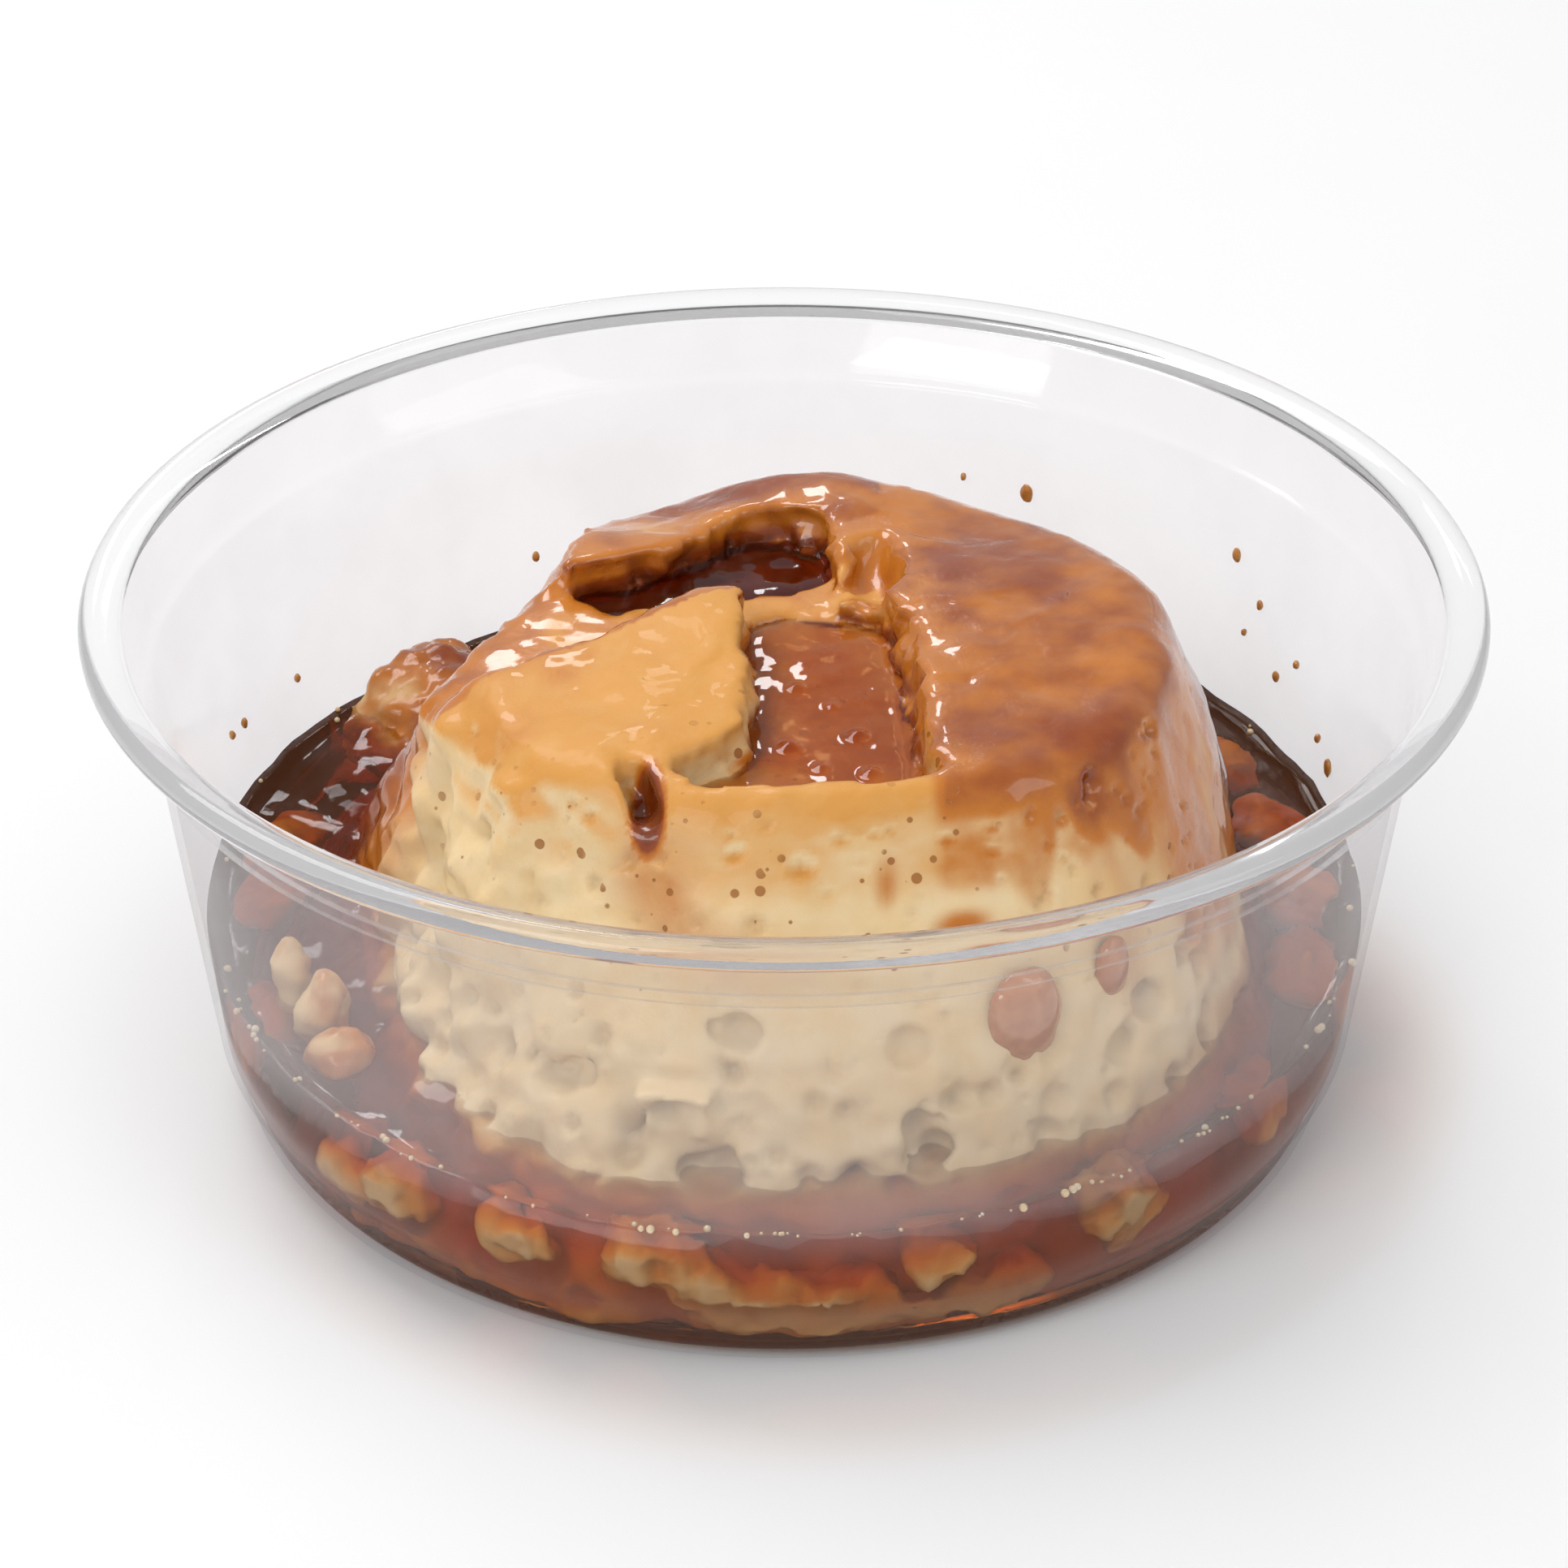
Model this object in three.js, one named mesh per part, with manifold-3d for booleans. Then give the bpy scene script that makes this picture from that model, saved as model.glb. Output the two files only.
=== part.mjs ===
// Caramel pudding, torn open on top, standing in its sauce in a clear round cup.
// Millimetres, +Z up. The origin is the centre of the cup's foot, on the surface it stands on.
// +X is to the right and -Y to the front, where the pudding's pale face shows.

import * as THREE from "three";
import { mergeVertices } from "three/addons/utils/BufferGeometryUtils.js";
import Module from "manifold-3d";

const wasm = await Module();
wasm.setup();

// Cup, a thin formed shell
const WALL = 0.7;
const RIM_RADIUS = 58.5;
const RIM_HEIGHT = 46;
const RIM_BEAD = 1.1;
const NECK_RADIUS = 54.9;
const LEDGE_HEIGHT = 38.6;
const LEDGE_RADIUS = 52.8;
const LEDGE_WIDTH = 1.2;
const STEP_HEIGHT = 6.2;
const STEP_RADIUS = 49.8;
const STEP_WIDTH = 0.8;
const FOOT_RADIUS = 47.4;
const FOOT_CORNER = 1.7;
const FOOT_WIDTH = 4;
const FLOOR_RISE = 0.9;
const CUP_SIDES = 60;

// Space left between neighbouring pieces
const GAP = 0.3;

// Pudding, a turned-out cone that leans a little
const BASE_Z = FLOOR_RISE + WALL + GAP;
const TOP_Z = 41.4;
const LINE_Z = 13.5;
const LINE_RADIUS = 42.3;
const LINE_CENTRE = new THREE.Vector2(0, -1.2);
const CROWN_Z = 40;
const CROWN_RADIUS = 30.3;
const CROWN_CENTRE = new THREE.Vector2(2, 0.5);
const FOOT_LIMIT = 44.3;
const FOOT_TUCK = 0.16;
const SHOULDER = 2.4;
const CROWN_DEPTH = 9;
const ROW_STEP = 2.8;
const PUDDING_SIDES = 72;
const BASE_SHARES = [0, 0.5, 0.9];
const SHOULDER_TURNS = [30, 60, 90];
const TOP_SHARES = [0.82, 0.66, 0.5, 0.34, 0.17, 0];

// Bulges and dents of the cone: bearing and half width in degrees, then mm at the crown and at the sauce line
const SWELLS = [
  { bearing: -40, spread: 28, crown: 2.4, line: 0.9 },
  { bearing: 5, spread: 30, crown: 0.4, line: -2.2 },
  { bearing: 62, spread: 38, crown: -1.8, line: -0.6 },
  { bearing: -135, spread: 26, crown: 1.6, line: 0.4 },
  { bearing: -160, spread: 30, crown: -0.4, line: -7.4 },
];

// Crowning and sagging of the top: centre, reach and height
const TOP_SWELLS = [
  { x: 21, y: -4, reach: 14, height: 0.7 },
  { x: -5, y: 0, reach: 7, height: 1.3 },
  { x: -25, y: -15, reach: 8, height: -1.2 },
  { x: 20, y: 24, reach: 10, height: -1.1 },
  { x: -14, y: 26, reach: 9, height: -3.2 },
];

// Roughness of the custard: height and size of the lumps
const SIDE_RELIEF = { height: 0.6, size: 6.5 };
const TOP_RELIEF = { height: 0.45, size: 5.5 };

// Slumped flank at the back left, a steep plane
const FLANK_BEARING = 156;
const FLANK_REACH = 24;
const FLANK_Z = 38;
const FLANK_SLOPE = 0.66;
const FLANK_BLOCK = 80;

// Torn channel across the top, seen in plan, from the front left corner round by the left
const CHANNEL_FLOOR = 36.9;
const CHANNEL_PLAN = [
  [-8.8, -23.8], [-4.6, -19.5], [-3.0, -13.0], [-2.9, -3.5], [-3.4, 3.2], [1.5, 6.5],
  [8.5, 5.0], [10.4, -2.0], [11.2, -14.0], [11.8, -24.8], [2.2, -26.5], [-7.4, -26.3],
];
const SHELF_FLOOR = 38.3;
const SHELF_PLAN = [
  [-2.5, 2.6], [-6.6, 4.0], [-9.3, 1.8], [-17.9, -4.0], [-34, -11.0], [-34, 9.0], [-20, 11.0],
  [-12, 8.4], [-3.0, 12.5], [3.4, 13.6], [6.2, 7.0], [2.0, 3.4],
];
const TEAR_DEPTH = 12;
const TEAR_DRAFT = { rise: 3.2, inset: 0.9 };
const TEAR_STEPS = 3;

// Hollow behind the channel, under a curling lip, in plan
const HOLLOW_FLOOR = 35.6;
const HOLLOW_PLAN = [
  [-18.6, 10.6], [-13.4, 12.4], [-8.3, 17.0], [-2.6, 21.6], [2.6, 20.4], [4.9, 16.2],
  [3.4, 11.8], [-2.5, 9.6], [-9.0, 7.4], [-15.5, 7.0],
];

// Pit beside the hollow: centre and half sizes
const PIT = { centre: [7.6, 9.8, 41.2], half: [2.7, 5.2, 3.4] };
const PIT_DETAIL = [14, 10];
const NOTCH = { size: [2.2, 9, 7], centre: [-10.9, -27.5, 41.4], turn: 12, lean: -18 };

// Pores in the face: bearing, height, half width and half height
const PORES = [
  [-76, 23.3, 2.1, 1.8], [-74.6, 16.2, 2.4, 2.9], [-98, 14.6, 2.6, 2.4], [-97, 24.6, 2.2, 1.7],
  [-49, 19.2, 1.7, 1.6], [-43, 21.2, 2.1, 1.6], [-60, 14.9, 1.7, 1.5], [-118, 19.4, 2.4, 1.6],
];
const PORE_DETAIL = [10, 7];

// Lumps of the side, most of them on the crumbled left: bearing, height, reach and how far they stand out
const LUMPS = [
  [2, 29, 9, 1.4],
  [-164, 29, 3.4, 1.5], [-166, 23.5, 3.6, 1.4], [-156, 18.5, 3.8, 1.4], [-141, 15.5, 4.2, 1.0],
  [-126, 12.5, 4.0, 1.6], [-136, 22.5, 3.2, 1.4], [-112, 14.0, 3.6, 1.3], [-150, 33.5, 3.0, 1.2],
];

// Block that stands out of the face
const BLOCK = { bearing: -103, z: 19.2, size: [6.4, 3.4, 3.4] };

// Sauce: its level at the front and at the back of the cup, and in the torn top
const SAUCE_FRONT = 13.8;
const SAUCE_BACK = 16.8;
const SAUCE_RIPPLE = { height: 0.25, size: 9 };
const SAUCE_RINGS = [47.5, 44, 36, 0];
const CHANNEL_LEVEL = 38.0;
const HOLLOW_LEVEL = 37.7;

// Piece that broke off at the back left: centre, half sizes, turn in degrees
const BROKEN = { centre: [-31.5, 30.5, 10.2], half: [10, 28, 8.7], turn: 46 };
const BROKEN_RELIEF = { height: 1.1, size: 6 };
const BROKEN_DETAIL = [24, 14];
const BROKEN_CLEARANCE = 1.2;

// Curds in the sauce at the front left: centre and half sizes
const CURDS = [
  { name: "curd_left", centre: [-41.2, -16.4, 15.4], half: [1.9, 2.1, 5.2] },
  { name: "curd_middle", centre: [-38.0, -20.8, 15.0], half: [2.3, 2.1, 5.0] },
  { name: "curd_front", centre: [-36.4, -25.8, 14.2], half: [3.0, 2.4, 2.8] },
];
const CURD_RELIEF = { height: 0.45, size: 2.4 };
const CURD_DETAIL = [12, 8];

// Colours, roughness and metalness
const CLEAR = { color: 0xf3f1f0, roughness: 0.12, metalness: 0, transparent: true, opacity: 0.3 };
const CUSTARD = { color: 0xe9c78c, roughness: 0.5, metalness: 0 };
const STAINED = { color: 0xb9702f, roughness: 0.35, metalness: 0 };
const CARAMEL = { color: 0x571c0d, roughness: 0.08, metalness: 0 };

// Points closer than this are one point
const MERGE_STEP = 1e-3;

// Turns a closed geometry into a solid that can be joined and cut.
function solidOf(geometry) {
  const bare = geometry.clone();
  bare.deleteAttribute("normal");
  bare.deleteAttribute("uv");
  const merged = mergeVertices(bare, MERGE_STEP);
  const corners = merged.index.array;
  const kept = [];
  for (let i = 0; i < corners.length; i += 3) {
    const [a, b, c] = corners.slice(i, i + 3);
    if (a !== b && b !== c && c !== a) {
      kept.push(a, b, c);
    }
  }
  return new wasm.Manifold(
    new wasm.Mesh({
      numProp: 3,
      vertProperties: merged.attributes.position.array,
      triVerts: new Uint32Array(kept),
    }),
  );
}

// Turns a solid back into a geometry, leaving out scraps that the cuts set loose.
function geometryOf(solid) {
  const pieces = solid.decompose();
  pieces.sort((a, b) => b.volume() - a.volume());
  const mesh = pieces[0].getMesh();
  const geometry = new THREE.BufferGeometry();
  geometry.setAttribute("position", new THREE.BufferAttribute(mesh.vertProperties, 3));
  geometry.setIndex(new THREE.BufferAttribute(mesh.triVerts, 1));
  geometry.computeVertexNormals();
  return geometry;
}

// Makes the named mesh of one sub-part.
function part(name, geometry, finish) {
  const mesh = new THREE.Mesh(geometry, new THREE.MeshStandardMaterial(finish));
  mesh.name = name;
  return mesh;
}

// Moves every vertex of a geometry by a function of its position.
function reshape(geometry, move) {
  const position = geometry.attributes.position;
  const point = new THREE.Vector3();
  for (let i = 0; i < position.count; i += 1) {
    point.fromBufferAttribute(position, i);
    move(point);
    position.setXYZ(i, point.x, point.y, point.z);
  }
  return geometry;
}

// Smooth lumps between -1 and 1, the same at the same place each time.
function lumpiness(point, size) {
  const scatter = (i, j, k) => {
    const s = Math.sin(i * 127.1 + j * 311.7 + k * 74.7) * 43758.5453;
    return 2 * (s - Math.floor(s)) - 1;
  };
  const place = point.clone().divideScalar(size);
  const corner = place.clone().floor();
  const share = place.clone().sub(corner);
  const ease = (t) => t * t * (3 - 2 * t);
  let sum = 0;
  for (let n = 0; n < 8; n += 1) {
    const [di, dj, dk] = [n & 1, (n >> 1) & 1, n >> 2];
    const weight =
      ease(di ? share.x : 1 - share.x) * ease(dj ? share.y : 1 - share.y) * ease(dk ? share.z : 1 - share.z);
    sum += weight * scatter(corner.x + di, corner.y + dj, corner.z + dk);
  }
  return sum;
}

// Revolves a profile of [radius, height] points about the vertical axis.
function turned(profile, sides) {
  const points = profile.map(([radius, height]) => new THREE.Vector2(radius, height));
  return new THREE.LatheGeometry(points, sides).rotateX(Math.PI / 2);
}

// Points of an arc in the profile plane, angles in degrees.
function arc(radius, height, size, from, to, steps) {
  const points = [];
  for (let i = 0; i <= steps; i += 1) {
    const angle = THREE.MathUtils.degToRad(from + ((to - from) * i) / steps);
    points.push([radius + size * Math.cos(angle), height + size * Math.sin(angle)]);
  }
  return points;
}

// Inside of the cup from the floor's centre up to the ledge, drawn in by a clearance.
function cupInside(clearance) {
  const floor = FLOOR_RISE + WALL + clearance;
  const inset = WALL + clearance;
  const corner = FOOT_CORNER - WALL / 2;
  return [
    [0, floor],
    [FOOT_RADIUS - FOOT_WIDTH - inset, floor],
    [FOOT_RADIUS - FOOT_WIDTH, inset],
    ...arc(FOOT_RADIUS - inset - corner + WALL, inset + corner, corner, -90, 0, 3),
    [STEP_RADIUS - STEP_WIDTH - inset, STEP_HEIGHT - WALL],
    [STEP_RADIUS - inset, STEP_HEIGHT + WALL / 2],
    [LEDGE_RADIUS - clearance, LEDGE_HEIGHT],
  ];
}

// Cup: foot ring, stacking step, tapered wall, ledge for a lid and rolled rim.
function cupGeometry() {
  const bead = RIM_BEAD;
  const under = RIM_HEIGHT - 2 * bead;
  const outside = [
    [0, FLOOR_RISE],
    [FOOT_RADIUS - FOOT_WIDTH - WALL, FLOOR_RISE],
    [FOOT_RADIUS - FOOT_WIDTH, 0],
    ...arc(FOOT_RADIUS - FOOT_CORNER + WALL, FOOT_CORNER, FOOT_CORNER, -90, 0, 4),
    [STEP_RADIUS - STEP_WIDTH, STEP_HEIGHT - WALL],
    [STEP_RADIUS, STEP_HEIGHT],
    [LEDGE_RADIUS + WALL, LEDGE_HEIGHT - WALL],
    [LEDGE_RADIUS + LEDGE_WIDTH + WALL, LEDGE_HEIGHT],
    [NECK_RADIUS + WALL, under],
    ...arc(RIM_RADIUS - bead, under + bead, bead, -80, 90, 5),
    [NECK_RADIUS + 2 * WALL, RIM_HEIGHT - WALL / 2],
    [NECK_RADIUS, RIM_HEIGHT - 2 * WALL],
    [LEDGE_RADIUS + LEDGE_WIDTH, LEDGE_HEIGHT + WALL],
  ];
  return turned([...outside, ...cupInside(0).reverse()], CUP_SIDES);
}

// Weight of a bulge at a bearing, both in degrees.
function bulge(bearing, swell) {
  const apart = THREE.MathUtils.euclideanModulo(bearing - swell.bearing + 180, 360) - 180;
  return Math.exp(-((apart / swell.spread) ** 2));
}

// Share of the way from the sauce line to the crown.
function riseShare(z) {
  return (z - LINE_Z) / (CROWN_Z - LINE_Z);
}

// Axis of the leaning cone at a height.
function coneCentre(z) {
  return LINE_CENTRE.clone().lerp(CROWN_CENTRE, riseShare(z));
}

// Radius of the pudding's side at a bearing in degrees and a height.
function sideRadius(bearing, z) {
  const share = riseShare(z);
  let radius = THREE.MathUtils.lerp(LINE_RADIUS, CROWN_RADIUS, share);
  for (const swell of SWELLS) {
    const held = THREE.MathUtils.clamp(share, 0, 1);
    radius += bulge(bearing, swell) * THREE.MathUtils.lerp(swell.line, swell.crown, held);
  }
  for (const [place, height, reach, out] of LUMPS) {
    const spread = THREE.MathUtils.radToDeg(reach / radius);
    radius += out * bulge(bearing, { bearing: place, spread }) * Math.exp(-(((z - height) / reach) ** 2));
  }
  const foot = FOOT_LIMIT - FOOT_TUCK * Math.max(0, LINE_Z / 2 - z);
  return Math.min(radius, foot);
}

// Point on the pudding's side.
function sidePoint(bearing, z) {
  const angle = THREE.MathUtils.degToRad(bearing);
  const out = new THREE.Vector3(Math.cos(angle), Math.sin(angle), 0);
  const centre = coneCentre(z);
  return new THREE.Vector3(centre.x, centre.y, z).addScaledVector(out, sideRadius(bearing, z));
}

// Height of the uncut top above its mean level.
function topRise(point) {
  let rise = TOP_RELIEF.height * lumpiness(point, TOP_RELIEF.size);
  for (const { x, y, reach, height } of TOP_SWELLS) {
    rise += height * Math.exp(-(((point.x - x) / reach) ** 2) - ((point.y - y) / reach) ** 2);
  }
  return rise;
}

// Rows of the pudding's skin: share of the side radius, height, and how far in from the side.
function puddingRows() {
  const rows = BASE_SHARES.map((share) => [share, BASE_Z, 0]);
  const sideTop = TOP_Z - SHOULDER;
  const count = Math.round((sideTop - BASE_Z) / ROW_STEP);
  for (let i = 0; i <= count; i += 1) {
    rows.push([1, BASE_Z + ((sideTop - BASE_Z) * i) / count, 0]);
  }
  for (const angle of SHOULDER_TURNS) {
    const turn = THREE.MathUtils.degToRad(angle);
    rows.push([1, sideTop + SHOULDER * Math.sin(turn), SHOULDER * (1 - Math.cos(turn))]);
  }
  for (const share of TOP_SHARES) {
    rows.push([share, TOP_Z, SHOULDER]);
  }
  return rows;
}

// Whole pudding before it tore, grown all round by a clearance.
function wholePudding(grow) {
  const rows = puddingRows();
  const profile = rows.map(([share], row) => [share, row]);
  const geometry = turned(profile, PUDDING_SIDES);
  reshape(geometry, (point) => {
    const [, z, inset] = rows[Math.round(point.z)];
    const bearing = THREE.MathUtils.radToDeg(Math.atan2(point.y, point.x));
    const out = new THREE.Vector2(point.x, point.y);
    const skin = sidePoint(bearing, z);
    const rough = SIDE_RELIEF.height * lumpiness(skin, SIDE_RELIEF.size);
    const radius = sideRadius(bearing, z) - inset + rough + grow;
    const place = coneCentre(z).addScaledVector(out, radius);
    point.set(place.x, place.y, z);
    const crownShare = THREE.MathUtils.clamp(1 - (TOP_Z - z) / CROWN_DEPTH, 0, 1);
    point.z += crownShare * (topRise(point) + grow);
    if (z === BASE_Z) {
      point.z -= grow;
    }
  });
  return solidOf(geometry);
}

// Ball stretched to half sizes, turned about the vertical and set at a centre.
function ball({ centre, half, turn = 0 }, detail, grow = 0) {
  const geometry = new THREE.SphereGeometry(1, ...detail);
  geometry.scale(half[0] + grow, half[1] + grow, half[2] + grow);
  geometry.rotateZ(THREE.MathUtils.degToRad(turn));
  return geometry.translate(...centre);
}

// Block of ground to cut away on the slumped flank, held off by a clearance.
function flankCut(clearance) {
  const size = FLANK_BLOCK;
  const tilt = Math.atan(FLANK_SLOPE);
  const geometry = new THREE.BoxGeometry(size, 2 * size, 2 * size);
  geometry.translate(size / 2 + clearance, 0, 0);
  geometry.rotateY(-tilt);
  geometry.translate(FLANK_REACH, 0, FLANK_Z);
  return solidOf(geometry.rotateZ(THREE.MathUtils.degToRad(FLANK_BEARING)));
}

// Pudding with its slumped flank, before the top tore, grown by a clearance.
function puddingForm(grow) {
  return wholePudding(grow).subtract(flankCut(grow));
}

// Body of air above a torn floor, drawn in by a clearance.
function tear(plan, floor, clearance) {
  const points = plan.map(([x, y]) => new THREE.Vector3(x, y, 0));
  const outline = new THREE.CatmullRomCurve3(points, true);
  const shape = new THREE.Shape(outline.getPoints(TEAR_STEPS * points.length).slice(0, -1));
  const geometry = new THREE.ExtrudeGeometry(shape, {
    depth: TEAR_DEPTH,
    bevelThickness: TEAR_DRAFT.rise,
    bevelSize: TEAR_DRAFT.inset,
    bevelOffset: -TEAR_DRAFT.inset - clearance,
    bevelSegments: 1,
  });
  return solidOf(geometry.translate(0, 0, floor + clearance + TEAR_DRAFT.rise));
}

// Pudding with its torn top, hollow, pit, notch and pores.
function puddingGeometry() {
  const block = new THREE.BoxGeometry(...BLOCK.size);
  block.rotateZ(THREE.MathUtils.degToRad(BLOCK.bearing + 90));
  block.translate(...sidePoint(BLOCK.bearing, BLOCK.z).toArray());
  let pudding = puddingForm(0)
    .add(solidOf(block))
    .subtract(tear(CHANNEL_PLAN, CHANNEL_FLOOR, 0))
    .subtract(tear(SHELF_PLAN, SHELF_FLOOR, 0))
    .subtract(tear(HOLLOW_PLAN, HOLLOW_FLOOR, 0))
    .subtract(solidOf(ball(PIT, PIT_DETAIL)));
  const notch = new THREE.BoxGeometry(...NOTCH.size);
  notch.rotateX(THREE.MathUtils.degToRad(NOTCH.lean));
  notch.rotateZ(THREE.MathUtils.degToRad(NOTCH.turn));
  pudding = pudding.subtract(solidOf(notch.translate(...NOTCH.centre)));
  for (const [bearing, z, halfWidth, halfHeight] of PORES) {
    const pore = { centre: sidePoint(bearing, z).toArray(), half: [halfWidth, halfWidth, halfHeight] };
    pudding = pudding.subtract(solidOf(ball(pore, PORE_DETAIL)));
  }
  return geometryOf(pudding);
}

// Space inside the cup up to the ledge.
function cupSpace(clearance) {
  const inside = cupInside(clearance);
  return solidOf(turned([...inside, [0, LEDGE_HEIGHT]], CUP_SIDES));
}

// Piece that broke off and lies between the flank and the wall.
function brokenPiece(grow) {
  const geometry = ball(BROKEN, BROKEN_DETAIL, grow);
  reshape(geometry, (point) => {
    point.z += BROKEN_RELIEF.height * lumpiness(point, BROKEN_RELIEF.size);
  });
  const clearance = BROKEN_CLEARANCE * (GAP - grow);
  return solidOf(geometry).intersect(cupSpace(clearance)).subtract(puddingForm(clearance));
}

// One curd, uneven, grown by a clearance.
function curd({ centre, half }, grow) {
  const geometry = ball({ centre: [0, 0, 0], half }, CURD_DETAIL, grow);
  const seed = new THREE.Vector3(...centre);
  reshape(geometry, (point) => {
    const rough = CURD_RELIEF.height * lumpiness(point.clone().add(seed), CURD_RELIEF.size);
    point.multiplyScalar(1 + rough / half[2]);
  });
  return solidOf(geometry.translate(...centre));
}

// Level of the sauce at a place in the cup.
function sauceLevel(point) {
  const share = (1 + point.y / STEP_RADIUS) / 2;
  const flat = new THREE.Vector3(point.x, point.y, 0);
  const ripple = SAUCE_RIPPLE.height * lumpiness(flat, SAUCE_RIPPLE.size);
  return THREE.MathUtils.lerp(SAUCE_FRONT, SAUCE_BACK, share) + ripple;
}

// Sauce round the foot of the pudding, cut round all that stands in it.
function sauceGeometry() {
  const inside = cupInside(GAP);
  const wallTop = inside.pop();
  const [stepRadius, stepHeight] = inside[inside.length - 1];
  const share = (SAUCE_FRONT - stepHeight) / (wallTop[1] - stepHeight);
  const wallRadius = THREE.MathUtils.lerp(stepRadius, wallTop[0], share);
  const surface = [wallRadius, ...SAUCE_RINGS].map((radius) => [radius, SAUCE_FRONT]);
  const geometry = turned([...inside, ...surface], CUP_SIDES);
  reshape(geometry, (point) => {
    if (point.z > SAUCE_FRONT - GAP) {
      point.z = sauceLevel(point);
    }
  });
  let sauce = solidOf(geometry).subtract(puddingForm(GAP)).subtract(brokenPiece(GAP));
  for (const shape of CURDS) {
    sauce = sauce.subtract(curd(shape, GAP));
  }
  return geometryOf(sauce);
}

// Part of a solid that lies under a level.
function below(solid, level) {
  const size = 2 * RIM_RADIUS;
  const slab = new THREE.BoxGeometry(size, size, size).translate(0, 0, level - size / 2);
  return solid.intersect(solidOf(slab));
}

const pudding = new THREE.Group();
pudding.add(part("cup", cupGeometry(), CLEAR));
pudding.add(part("pudding", puddingGeometry(), CUSTARD));
pudding.add(part("caramel_sauce", sauceGeometry(), CARAMEL));
pudding.add(part("broken_piece", geometryOf(brokenPiece(0)), STAINED));
for (const shape of CURDS) {
  pudding.add(part(shape.name, geometryOf(curd(shape, 0)), CUSTARD));
}
const channelPool = below(tear(CHANNEL_PLAN, CHANNEL_FLOOR, GAP), CHANNEL_LEVEL);
pudding.add(part("channel_caramel", geometryOf(channelPool), CARAMEL));
const hollowPool = below(tear(HOLLOW_PLAN, HOLLOW_FLOOR, GAP), HOLLOW_LEVEL);
pudding.add(part("hollow_caramel", geometryOf(hollowPool), CARAMEL));

export default pudding;
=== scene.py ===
"""Caramel pudding in a clear cup: the looks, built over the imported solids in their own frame."""

import logging
import math
from dataclasses import dataclass, field
from enum import Enum
from typing import Optional, Sequence, Union

import bpy
import numpy as np
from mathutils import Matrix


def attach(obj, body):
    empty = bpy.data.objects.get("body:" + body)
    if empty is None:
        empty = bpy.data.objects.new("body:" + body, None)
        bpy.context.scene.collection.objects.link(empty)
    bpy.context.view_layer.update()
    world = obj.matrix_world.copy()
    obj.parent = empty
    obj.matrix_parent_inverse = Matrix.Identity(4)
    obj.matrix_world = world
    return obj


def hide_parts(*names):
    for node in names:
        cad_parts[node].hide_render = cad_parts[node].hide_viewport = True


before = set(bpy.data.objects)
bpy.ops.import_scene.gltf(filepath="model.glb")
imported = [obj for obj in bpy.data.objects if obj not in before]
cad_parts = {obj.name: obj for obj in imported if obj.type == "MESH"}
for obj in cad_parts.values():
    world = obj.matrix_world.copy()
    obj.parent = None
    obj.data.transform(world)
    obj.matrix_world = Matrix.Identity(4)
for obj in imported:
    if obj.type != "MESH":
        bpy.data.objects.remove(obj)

LOG = logging.getLogger("caramel_pudding")
MM = 0.001
BODY = "root"
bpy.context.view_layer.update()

Number = Union[int, float]
Colour = tuple[float, float, float]


class Slot(Enum):
    """Names of the material slots."""

    CUP = "clear_cup"
    CUSTARD = "custard"
    STAINED = "stained_custard"
    CARAMEL = "caramel"


# Mesh helpers


def activate(piece: bpy.types.Object) -> None:
    """Makes one object the only selected and active one.

    Args:
        piece: the object to work on.
    """
    bpy.ops.object.select_all(action="DESELECT")
    piece.select_set(True)
    bpy.context.view_layer.objects.active = piece


def apply_modifier(piece: bpy.types.Object, kind: str, **settings: object) -> None:
    """Adds a modifier, sets it and applies it.

    Args:
        piece: the object to change.
        kind: the modifier's type, such as SMOOTH.
        settings: the modifier's own settings.
    """
    activate(piece)
    bpy.ops.object.modifier_add(type=kind)
    modifier = piece.modifiers[-1]
    for name, value in settings.items():
        setattr(modifier, name, value)
    bpy.ops.object.modifier_apply(modifier=modifier.name)


def merge_doubles(piece: bpy.types.Object, distance: float = 1e-6) -> None:
    """Merges the vertices of a piece that lie on each other.

    Args:
        piece: the object to change.
        distance: how far apart merged vertices may be, in metres.
    """
    activate(piece)
    bpy.ops.object.mode_set(mode="EDIT")
    bpy.ops.mesh.select_all(action="SELECT")
    bpy.ops.mesh.remove_doubles(threshold=distance)
    bpy.ops.mesh.normals_make_consistent(inside=False)
    bpy.ops.object.mode_set(mode="OBJECT")


def read_points(piece: bpy.types.Object) -> np.ndarray:
    """Returns the vertices of a piece in millimetres, as rows."""
    flat = np.empty(3 * len(piece.data.vertices))
    piece.data.vertices.foreach_get("co", flat)
    return flat.reshape(-1, 3) / MM


def read_normals(piece: bpy.types.Object) -> np.ndarray:
    """Returns the vertex normals of a piece, as rows."""
    flat = np.empty(3 * len(piece.data.vertices))
    piece.data.vertices.foreach_get("normal", flat)
    return flat.reshape(-1, 3)


def write_points(piece: bpy.types.Object, points: np.ndarray) -> None:
    """Writes vertices given in millimetres back to a piece.

    Args:
        piece: the object to change.
        points: one row for each vertex.
    """
    piece.data.vertices.foreach_set("co", (points * MM).ravel())
    piece.data.update()


def paint(piece: bpy.types.Object, name: str, masks: np.ndarray) -> None:
    """Stores three masks as a colour attribute on the vertices.

    Args:
        piece: the object to paint.
        name: the attribute's name.
        masks: one row of three shares for each vertex.
    """
    layer = piece.data.color_attributes.new(name=name, type="FLOAT_COLOR", domain="POINT")
    rows = np.ones((len(masks), 4))
    rows[:, :3] = np.clip(masks, 0, 1)
    layer.data.foreach_set("color", rows.ravel())


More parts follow.
